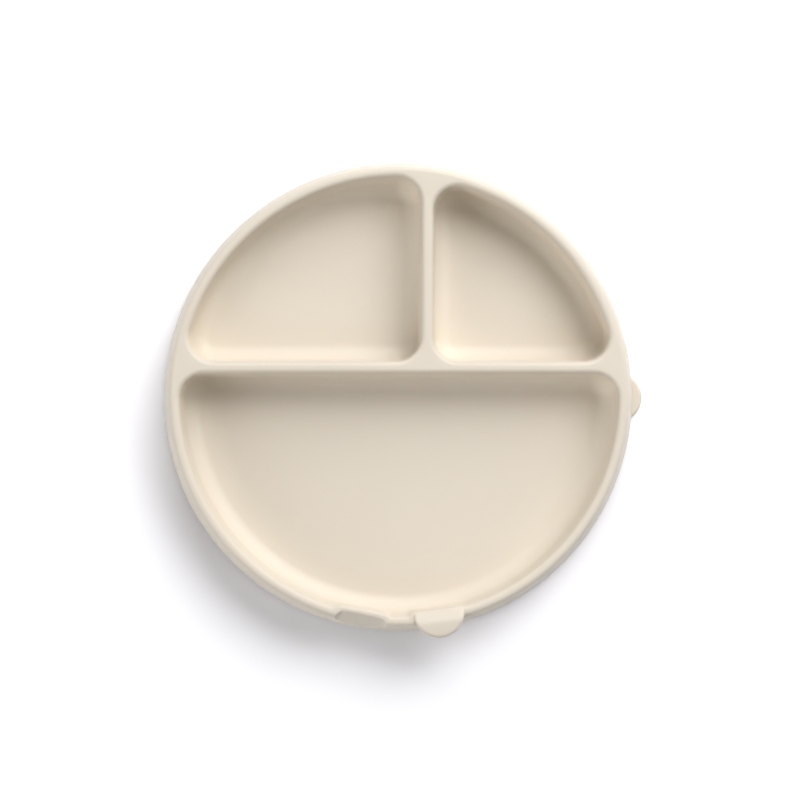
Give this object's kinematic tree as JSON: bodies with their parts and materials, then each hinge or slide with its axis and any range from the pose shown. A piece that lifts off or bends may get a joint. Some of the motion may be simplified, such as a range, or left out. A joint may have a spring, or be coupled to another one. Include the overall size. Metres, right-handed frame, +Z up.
{
  "type": "divided suction plate",
  "caption": "Round moulded silicone plate with three pockets, a rim tab beside a thumb recess, and a suction foot with a release tab.",
  "frame": {"origin": "centre of the suction foot, on the table, on the axis of the round rim", "axes": "+Z up out of the table; -Y towards the child, where the wide pocket, the lifting tab and the thumb recess are; +X to the right, where the release tab is"},
  "size_m": [0.198, 0.1946, 0.0288],
  "materials": {
    "silicone": "matt cream silicone"
  },
  "bodies": {
    "root": {"plate": "silicone"}
  },
  "joints": []
}
